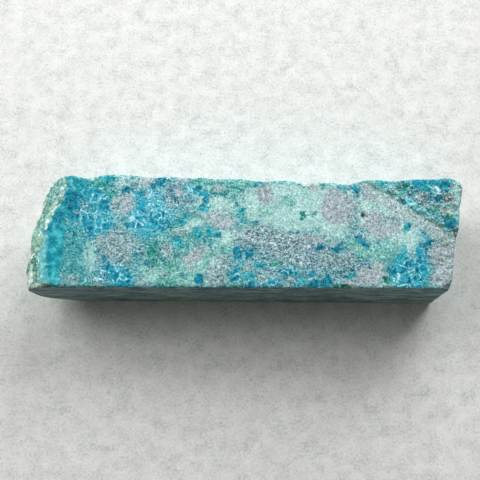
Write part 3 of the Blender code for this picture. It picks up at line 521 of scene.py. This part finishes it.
# --------------------------------------------------------------------------------------------------
# Materials
# --------------------------------------------------------------------------------------------------
MATH, MIX, RANGE = "ShaderNodeMath", "ShaderNodeMix", "ShaderNodeMapRange"
NOISE, CELLS, RAMP = "ShaderNodeTexNoise", "ShaderNodeTexVoronoi", "ShaderNodeValToRGB"
SEPARATE, ATTRIBUTE, VECTOR = "ShaderNodeSeparateColor", "ShaderNodeAttribute", "ShaderNodeVectorMath"
RANDOM = "FunctionNodeRandomValue"
CELLS_PER_MM = 0.62  # of the net, so cells of about 1.6 mm
GRAIN = 0.22  # mm, one grain of the sawn stone
COMBED = math.radians(-62)  # how slate and dusk run


def add(tree, kind, links=None, stops=(), **settings):
    """Adds a node with its settings. links gives an input, by number or by the name of one in use, a
    value, a socket, or another node, which stands for its first output in use. stops are the places
    and colours of a ramp."""
    made = tree.nodes.new(kind)
    for key, value in settings.items():
        setattr(made, key, value)
    for index, (place, code) in enumerate(stops):
        elements = made.color_ramp.elements
        stop = elements[index] if index < len(elements) else elements.new(place)
        stop.position, stop.color = place, srgb(code)
    in_use = {socket.name: socket for socket in made.inputs if socket.enabled}
    for key, value in (links or {}).items():
        entry = made.inputs[key] if isinstance(key, int) else in_use[key]
        if isinstance(value, bpy.types.Node):
            value = next(out for out in value.outputs if out.enabled)
        if isinstance(value, bpy.types.NodeSocket):
            tree.links.new(value, entry)
        else:
            entry.default_value = value
    return made


def new_material(name, specular):
    """A new material, its nodes, its shader, and the place of each point in mm."""
    material = bpy.data.materials.new(name)
    material.use_nodes = True
    tree = material.node_tree
    shader = tree.nodes["Principled BSDF"]
    shader.inputs["Specular IOR Level"].default_value = specular
    where = add(tree, "ShaderNodeTexCoord").outputs["Object"]
    return material, tree, shader, add(tree, VECTOR, {0: where, 3: 1 / MM}, operation="SCALE")


def strew(tree, at, flecks, colour):
    """Lays flecks of other colours over a colour, each a cell of its size in mm."""
    for size, share, code in flecks:
        moved = add(tree, VECTOR, {0: at, 1: (size * 9.0, 3.0, 0.0)}, operation="ADD")
        cells = add(tree, CELLS, {"Vector": moved, "Scale": 1 / size})
        chosen = add(tree, SEPARATE, {0: cells.outputs["Color"]})
        chosen = add(tree, MATH, {0: chosen, 1: share}, operation="LESS_THAN")
        near = add(tree, RANGE, {0: cells, 1: 0.6, 2: 0.3, 3: 0.0, 4: 0.7})
        near = add(tree, MATH, {0: chosen, 1: near}, operation="MULTIPLY")
        colour = add(tree, MIX, {0: near, 6: colour, 7: srgb(code)}, data_type="RGBA")
    return colour


def lay(tree, places, layers, colour, grain, first):
    """Lays each mineral over a colour where its own value says that it is, and keeps how grainy the
    stone is. first numbers the layers, so that no two have the same pattern."""
    for index, (mineral, size, edge, soft, grainy, stops) in enumerate(layers, first):
        value = add(tree, ATTRIBUTE, attribute_name=mineral).outputs["Fac"]
        spread = edge * 6.0  # the fray itself runs to about a sixth either way
        frayed = add(tree, MATH, {0: places["fray"], 1: spread, 2: value}, operation="MULTIPLY_ADD")
        amount = add(tree, RANGE, {0: frayed, 1: -soft, 2: soft})
        at, apart = places.get(mineral, places["mm"]), (index * 17.0, index * 5.1, 0.0)
        moved = add(tree, VECTOR, {0: at, 1: apart}, operation="ADD")
        pattern = add(tree, NOISE, {"Vector": moved, "Scale": 1 / size, "Detail": 2.6, "Roughness": 0.6})
        tinted = add(tree, RAMP, {0: pattern}, stops)
        colour = add(tree, MIX, {0: amount, 6: colour, 7: tinted}, data_type="RGBA")
        grain = add(tree, MIX, {0: amount, 2: grain, 3: grainy})
    return colour, grain


def net(tree, places, colour):
    """Thin pale veinlets between cells of about 1.6 mm: clearest in the netted zones, and strongest
    where those are blue or deep, where the cells too are darker or lighter than their neighbours."""
    blue = add(tree, ATTRIBUTE, attribute_name="blue").outputs["Fac"]
    deep = add(tree, ATTRIBUTE, attribute_name="deep").outputs["Fac"]
    either = add(tree, MATH, {0: blue, 1: deep}, operation="MAXIMUM")
    inside = add(tree, RANGE, {0: either, 1: -0.6, 2: 0.4})
    netted = add(tree, ATTRIBUTE, attribute_name="netted").outputs["Fac"]
    netted = add(tree, RANGE, {0: netted, 1: -1.0, 2: 1.0, 3: 0.1, 4: 1.0})
    inside = add(tree, MATH, {0: inside, 1: netted}, operation="MULTIPLY")
    spread = add(tree, MATH, {0: netted, 1: 0.35, 2: inside}, operation="MULTIPLY_ADD")
    packed = {"Vector": places["bent"], "Scale": CELLS_PER_MM}
    cells = add(tree, CELLS, packed)
    tone = add(tree, SEPARATE, {0: cells.outputs["Color"]})
    dark = add(tree, RANGE, {0: tone, 1: 0.0, 2: 0.5, 3: 0.4, 4: 0.0})
    light = add(tree, RANGE, {0: tone, 1: 0.6, 2: 1.0, 3: 0.0, 4: 0.45})
    edges = add(tree, CELLS, packed, feature="DISTANCE_TO_EDGE")
    swell = add(tree, NOISE, {"Vector": places["mm"], "Scale": 1 / 1.6, "Detail": 3.0, "Roughness": 0.6})
    width = add(tree, RANGE, {0: swell, 1: 0.38, 2: 0.72, 3: -0.03, 4: 0.1})
    thin = add(tree, MATH, {0: width, 1: edges}, operation="SUBTRACT")
    thin = add(tree, RANGE, {0: thin, 1: -0.02, 2: 0.03, 3: 0.0, 4: 0.9})
    rim = add(tree, RANGE, {0: edges, 1: 0.3, 2: 0.04, 3: 0.0, 4: 0.6})
    marks = (
        (dark, inside, "#005a76"), (light, inside, "#36b0c6"), (rim, inside, "#2fadc6"),
        (thin, spread, "#aee4ee"),
    )
    for line, where, code in marks:
        amount = add(tree, MATH, {0: line, 1: where}, operation="MULTIPLY")
        colour = add(tree, MIX, {0: amount, 6: colour, 7: srgb(code)}, data_type="RGBA")
    return colour


def sawn_grain(tree, places, grain):
    """The light and dark of single grains, from about -1 to 1, with curled pale fibres and dark seams
    between them, which show most where the stone is grainiest."""
    cells = add(tree, CELLS, {"Vector": places["mm"], "Scale": 1 / GRAIN})
    tone = add(tree, SEPARATE, {0: cells.outputs["Color"]})
    fine = add(tree, NOISE, {"Vector": places["mm"], "Scale": 1 / 0.4, "Detail": 3.0, "Roughness": 0.8})
    each = add(tree, MATH, {0: fine, 1: 1.6, 2: tone}, operation="MULTIPLY_ADD")
    light = add(tree, RANGE, {0: each, 1: 0.75, 2: 1.85, 3: -1.15, 4: 1.1})
    light = add(tree, MATH, {0: light, 1: grain}, operation="MULTIPLY")
    fibrous = add(tree, RANGE, {0: grain, 1: 0.45, 2: 1.6, 3: 0.1, 4: 1.0})
    # where they curl, their size and width, how light they are, and the stone between them
    curled = (
        (places["combed"], 1.2, 0.045, 1.3, -0.4), (places["mm"], 0.9, 0.04, 0.8, -0.2),
        (places["bent"], 1.1, 0.035, -1.1, 0.2),
    )
    for at, size, width, on, off in curled:
        shape = {"Scale": 1 / size, "Detail": 2.0, "Roughness": 0.5, "Distortion": 1.6}
        fibres = add(tree, NOISE, {"Vector": at, **shape})
        ridge = add(tree, MATH, {0: fibres, 1: 0.5}, operation="SUBTRACT")
        ridge = add(tree, MATH, {0: ridge}, operation="ABSOLUTE")
        curls = add(tree, RANGE, {0: ridge, 1: 0.0, 2: width, 3: on, 4: off})
        light = add(tree, MATH, {0: curls, 1: fibrous, 2: light}, operation="MULTIPLY_ADD")
    return each, light


def stone_material(name, roughness, specular, pale_tone_and_painted_glints):
    """Chrysocolla in brecciated quartz. The saw leaves it matt and every grain shows as a light or
    dark speck. On drusy points the same colours are glassier and each crystal has its own pale tone,
    partly the whitish quartz and partly a painted glint."""
    material, tree, shader, mm = new_material(name, specular)

    # bends of about half a millimetre, so that no edge is a clean curve
    bend = add(tree, NOISE, {"Vector": mm, "Scale": 1 / 1.3, "Detail": 3.0, "Roughness": 0.6})
    bend = add(tree, VECTOR, {0: bend.outputs["Color"], 3: 1.5}, operation="SCALE")
    bent = add(tree, VECTOR, {0: mm, 1: bend}, operation="ADD")
    fray = add(tree, NOISE, {"Vector": mm, "Scale": 1.0, "Detail": 2.5, "Roughness": 0.6})
    fray = add(tree, MATH, {0: fray, 1: 0.5}, operation="SUBTRACT")

    # slate and dusk are combed in one direction, and the saw drew the film out along the bar
    combed = add(tree, "ShaderNodeMapping", {0: bent, 2: (0.0, 0.0, COMBED), 3: (0.5, 1.5, 1.0)})
    drawn = add(tree, "ShaderNodeMapping", {0: bent, 3: (0.28, 0.6, 1.0)})
    places = {"mm": mm, "bent": bent, "fray": fray, "combed": combed}
    places.update({"slate": combed, "dusk": combed, "film": drawn})

    # the ground between the patches, then the minerals from the first to the last
    mottle = add(tree, NOISE, {"Vector": mm, "Scale": 1 / 2.4, "Detail": 3.0, "Roughness": 0.6})
    colour = strew(tree, bent, GREY_FLECKS, add(tree, RAMP, {0: mottle}, GROUND))
    colour, grain = lay(tree, places, TINTS, colour, grain=0.9, first=20)
    colour = strew(tree, bent, DEEP_FLECKS, colour)
    colour, grain = lay(tree, places, MINERALS, colour, grain, first=0)
    colour, grain = lay(tree, places, FILM, net(tree, places, colour), grain, first=50)

    # grains change how light the stone is far more than its hue
    each, light = sawn_grain(tree, places, grain)
    shade = add(tree, MATH, {0: light, 1: 0.48, 2: 1.05}, operation="MULTIPLY_ADD")
    colour = add(tree, VECTOR, {0: colour, 3: shade}, operation="SCALE")
    lift = add(tree, MATH, {0: light, 1: 0.07}, operation="MULTIPLY")
    colour = add(tree, VECTOR, {0: colour, 1: lift}, operation="ADD")
    colour = add(tree, VECTOR, {0: colour, 1: (0.0, 0.0, 0.0)}, operation="MAXIMUM")

    # painted shade darkening the cracks between the druse lumps, and for each point a pale tone of its
    # own, partly the whitish quartz and partly a painted glint
    gaps = add(tree, ATTRIBUTE, attribute_name="gaps").outputs["Fac"]
    gaps = add(tree, MATH, {0: gaps, 1: 0.1}, operation="MULTIPLY")
    colour = add(tree, MIX, {0: gaps, 6: colour, 7: srgb("#0f5661")}, data_type="RGBA")
    if pale_tone_and_painted_glints:
        # pale tone for each crystal: partly the whitish quartz, partly painted glints
        tone = add(tree, ATTRIBUTE, attribute_name="tone").outputs["Fac"]
        pale = add(tree, RANGE, {0: tone, 1: 0.3, 2: 1.0, 3: 0.1, 4: 0.75})
        colour = add(tree, MIX, {0: pale, 6: colour, 7: srgb("#d6e9ec")}, data_type="RGBA")
    tree.links.new(colour.outputs[2], shader.inputs["Base Color"])

    # relief too fine for the mesh: grains that stand proud by less than a tenth of a millimetre
    rough = add(tree, ATTRIBUTE, attribute_name="rough").outputs["Fac"]
    depth = add(tree, RANGE, {0: rough, 3: 0.35, 4: 1.0})
    height = add(tree, MATH, {0: each, 1: depth}, operation="MULTIPLY")
    bump = add(tree, "ShaderNodeBump", {"Strength": 0.6, "Distance": 0.0001, "Height": height})
    tree.links.new(bump.outputs[0], shader.inputs["Normal"])
    dull = add(tree, RANGE, {0: each, 1: 0.6, 2: 1.9, 3: roughness + 0.1, 4: roughness - 0.12})
    tree.links.new(dull.outputs[0], shader.inputs["Roughness"])
    return material


def floor_material():
    """Matt pale limestone slab: cloudy over some millimetres, grainy over half a millimetre, with a
    few small pits, so that it reads as stone and not as paper."""
    material, tree, shader, mm = new_material("limestone_slab_honed", 0.2)
    clouds = add(tree, NOISE, {"Vector": mm, "Scale": 1 / 4.0, "Detail": 5.0, "Roughness": 0.7})
    grain = add(tree, NOISE, {"Vector": mm, "Scale": 1 / 0.6, "Detail": 2.0, "Roughness": 0.6})
    grain = add(tree, MATH, {0: grain, 1: 0.9, 2: clouds}, operation="MULTIPLY_ADD")
    grain = add(tree, MATH, {0: grain, 1: 0.526}, operation="MULTIPLY")
    colour = add(tree, RAMP, {0: grain}, [(0.36, "#c2c5c2"), (0.5, "#e1e3e2"), (0.64, "#f2f3f2")])
    warm = add(tree, NOISE, {"Vector": mm, "Scale": 1 / 7.0, "Detail": 3.0, "Roughness": 0.6})
    warm = add(tree, RANGE, {0: warm, 1: 0.4, 2: 0.6, 3: 0.0, 4: 0.3})
    colour = add(tree, MIX, {0: warm, 6: colour, 7: srgb("#e6e5e0")}, data_type="RGBA")
    holes = add(tree, CELLS, {"Vector": mm, "Scale": 0.28})
    holes = add(tree, RANGE, {0: holes, 1: 0.1, 2: 0.04, 3: 0.0, 4: 0.35})
    colour = add(tree, MIX, {0: holes, 6: colour, 7: srgb("#8c8f8d")}, data_type="RGBA")
    tree.links.new(colour.outputs[2], shader.inputs["Base Color"])
    shader.inputs["Roughness"].default_value = 0.9
    return material


# --------------------------------------------------------------------------------------------------
# Drusy quartz
# --------------------------------------------------------------------------------------------------
# Spacing and sizes are in m, tilt in radians.
DRUSE_INPUTS = [
    ("Spacing", "NodeSocketFloat"), ("Smallest", "NodeSocketFloat"), ("Largest", "NodeSocketFloat"),
    ("Tilt", "NodeSocketFloat"), ("Seed", "NodeSocketInt"), ("Finish", "NodeSocketMaterial"),
]
MOST_SEATS = 9e6  # a square metre, more than the spacing lets in
HALF_TURN = 3.1  # radians either way, so about any way round


def druse_tree():
    """Grows six-sided quartz points from a surface, each with its own size, lean and tone."""
    tree = bpy.data.node_groups.new("druse", "GeometryNodeTree")
    tree.interface.new_socket("Geometry", in_out="INPUT", socket_type="NodeSocketGeometry")
    for name, kind in DRUSE_INPUTS:
        tree.interface.new_socket(name, in_out="INPUT", socket_type=kind)
    tree.interface.new_socket("Geometry", in_out="OUTPUT", socket_type="NodeSocketGeometry")
    given = add(tree, "NodeGroupInput").outputs
    seats = add(tree, "GeometryNodeDistributePointsOnFaces",
                {"Mesh": given["Geometry"], "Distance Min": given["Spacing"], "Density Max": MOST_SEATS,
                 "Seed": given["Seed"]}, distribute_method="POISSON")
    tone = add(tree, RANDOM, {"Seed": given["Seed"]}, data_type="FLOAT")
    named = add(tree, "GeometryNodeStoreNamedAttribute",
                {"Geometry": seats.outputs["Points"], "Name": "tone", "Value": tone},
                data_type="FLOAT", domain="POINT")

    # one crystal: a prism of diameter 1 with a point on it, set so that half of it is in the stone
    body = {"Vertices": 6, "Radius Top": 0.46, "Radius Bottom": 0.5, "Depth": 0.9}
    prism = add(tree, "GeometryNodeMeshCone", body, fill_type="NGON")
    tip = {"Vertices": 6, "Radius Top": 0.03, "Radius Bottom": 0.46, "Depth": 0.5}
    point = add(tree, "GeometryNodeMeshCone", tip, fill_type="NGON")
    point = add(tree, "GeometryNodeTransform", {"Geometry": point, "Translation": (0, 0, 0.9)})
    crystal = add(tree, "GeometryNodeJoinGeometry")
    for part in (prism, point):
        tree.links.new(part.outputs[0], crystal.inputs[0])
    sunk = add(tree, "GeometryNodeTransform", {"Geometry": crystal, "Translation": (0, 0, -0.75)})

    # each leans and is turned and sized at random, a crystal on every seat
    lows = add(tree, MATH, {0: given["Tilt"], 1: -1.0}, operation="MULTIPLY")
    low = add(tree, "ShaderNodeCombineXYZ", {0: lows, 1: lows, 2: -HALF_TURN})
    high = add(tree, "ShaderNodeCombineXYZ", {0: given["Tilt"], 1: given["Tilt"], 2: HALF_TURN})
    lean = add(tree, RANDOM, {"Min": low, "Max": high, "Seed": given["Seed"]}, data_type="FLOAT_VECTOR")
    outward = {"Vector": seats.outputs["Normal"]}
    upright = add(tree, "FunctionNodeAlignRotationToVector", outward, axis="Z")
    turned = add(tree, "FunctionNodeRotateRotation", {0: upright, 1: lean}, rotation_space="LOCAL")
    sizes = {"Min": given["Smallest"], "Max": given["Largest"], "Seed": given["Seed"]}
    size = add(tree, RANDOM, sizes, data_type="FLOAT")
    grown = add(tree, "GeometryNodeInstanceOnPoints",
                {"Points": named, "Instance": sunk, "Rotation": turned, "Scale": size})
    real = add(tree, "GeometryNodeRealizeInstances", {"Geometry": grown})
    finished = add(tree, "GeometryNodeSetMaterial", {"Geometry": real, "Material": given["Finish"]})
    add(tree, "NodeGroupOutput", {"Geometry": finished})
    return tree


def face_patch(mesh, wanted):
    """The faces of a mesh whose first vertex is wanted, as a mesh of their own that keeps its values."""
    bm = bmesh.new()
    bm.from_mesh(mesh)
    spare = [f for f in bm.faces if not wanted[f.verts[0].index]]
    bmesh.ops.delete(bm, geom=spare, context="FACES")
    patch = bpy.data.meshes.new("patch")
    bm.to_mesh(patch)
    bm.free()
    return patch


def grow_druse(name, tree, patch, material, **inputs):
    """Runs the druse tree on a patch of surface and keeps the result as a plain mesh."""
    helper = bpy.data.objects.new(name, patch)
    bpy.context.scene.collection.objects.link(helper)
    grower = helper.modifiers.new("druse", "NODES")
    grower.node_group = tree
    ids = {item.name: item.identifier for item in tree.interface.items_tree if item.in_out == "INPUT"}
    for key, value in {**inputs, "Finish": material}.items():
        grower[ids[key]] = value
    mesh = bpy.data.meshes.new_from_object(helper.evaluated_get(bpy.context.evaluated_depsgraph_get()))
    bpy.data.objects.remove(helper)
    points = np.clip(read(mesh, "co"), np.array(CAD_LOW), np.array(CAD_HIGH))
    mesh.vertices.foreach_set("co", points.ravel().astype(np.float32))
    return piece(name, mesh, material)


# --------------------------------------------------------------------------------------------------
# Studio
# --------------------------------------------------------------------------------------------------
def lay_floor():
    """A slab much wider than the view, a hair below the base so that the two never flicker."""
    bm = bmesh.new()
    bmesh.ops.create_grid(bm, x_segments=1, y_segments=1, size=1.2)
    mesh = bpy.data.meshes.new("floor")
    bm.to_mesh(mesh)
    bm.free()
    floor = bpy.data.objects.new("floor", mesh)
    bpy.context.scene.collection.objects.link(floor)
    floor.location.z = -0.00002
    mesh.materials.append(floor_material())


def hang_light(name, place, aim, size, power):
    """A soft rectangular light that shines from a place towards another, in m and watts."""
    light = bpy.data.lights.new(name, "AREA")
    light.shape = "RECTANGLE"
    light.size, light.size_y = size
    light.energy = power
    obj = bpy.data.objects.new(name, light)
    bpy.context.scene.collection.objects.link(obj)
    obj.location = place
    obj.rotation_euler = (Vector(place) - Vector(aim)).to_track_quat("Z", "Y").to_euler()


def set_camera():
    """Looks down on the stone from about 75 degrees, a little in front of it."""
    lens = bpy.data.cameras.new("camera")
    lens.lens = 57.375  # mm
    lens.clip_start = 0.01
    camera = bpy.data.objects.new("camera", lens)
    bpy.context.scene.collection.objects.link(camera)
    place, aim = Vector((-0.000827, -0.049966, 0.195751)), Vector((-0.0012, -0.0025, 0.0186))
    camera.location = place
    camera.rotation_euler = (place - aim).to_track_quat("Z", "Y").to_euler()
    bpy.context.scene.camera = camera


def light_scene():
    """Daylight from two windows behind the stone, and a little light from all round."""
    world = bpy.data.worlds.new("studio")
    world.use_nodes = True
    world.node_tree.nodes["Background"].inputs["Color"].default_value = srgb("#f7f5ea")
    world.node_tree.nodes["Background"].inputs["Strength"].default_value = 0.15
    bpy.context.scene.world = world
    bpy.context.scene.view_settings.view_transform = "Standard"
    hang_light("side window", (-0.39, 0.27, 0.345), aim=(0.07, -0.11, 0), size=(0.44, 0.59), power=3.25)
    hang_light("back window", (0.25, 0.47, 0.295), aim=(-0.04, -0.29, 0), size=(0.47, 0.38), power=3.95)


def main():
    """The stone in place of its solid, its drusy points, the floor, the light and the camera."""
    # matt and speckled where the saw went, glassy where quartz grew, with a pale tone for each crystal
    # that is partly its whitish quartz and partly a painted glint
    sawn = stone_material("chrysocolla_in_quartz_rough_sawn", roughness=0.62, specular=0.06, pale_tone_and_painted_glints=False)
    drusy = stone_material("chrysocolla_stained_quartz_druse", roughness=0.28, specular=0.3, pale_tone_and_painted_glints=True)
    mesh = carved_stone()
    bar = piece("chrysocolla_bar_fine", mesh, sawn)
    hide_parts("chrysocolla_bar")

    points = read(mesh, "co") / MM
    values = {}
    for name in ("druse", "blue", "shallow", "milky"):
        values[name] = np.empty(len(points), np.float32)
        mesh.attributes[name].data.foreach_get("value", values[name])
    tree = druse_tree()

    # points grow in clumps on the druse, away from the fracture, but not on its smooth blue patches
    clumps = unevenness(points, 4.0, seed=9, octaves=2)
    smooth = np.maximum(values["blue"], values["shallow"]) > 0.1
    corner = (values["druse"] > 0.5) & ~smooth & (clumps > -0.12)
    corner &= (past_fracture(points) > 1.8) & (points[:, 1] < 12.0)
    grow_druse("drusy_corner_points", tree, face_patch(mesh, corner), drusy,
               Spacing=0.0007, Smallest=0.0002, Largest=0.00055, Tilt=1.3, Seed=3)

    # and a few small ones low on the left end, where a milky vein reaches the crust
    lip = (values["milky"] > -0.3) & (points[:, 0] < -46)
    grow_druse("crust_edge_points", tree, face_patch(mesh, lip), drusy,
               Spacing=0.0004, Smallest=0.00025, Largest=0.0006, Tilt=0.9, Seed=5)

    lay_floor()
    light_scene()
    set_camera()


main()
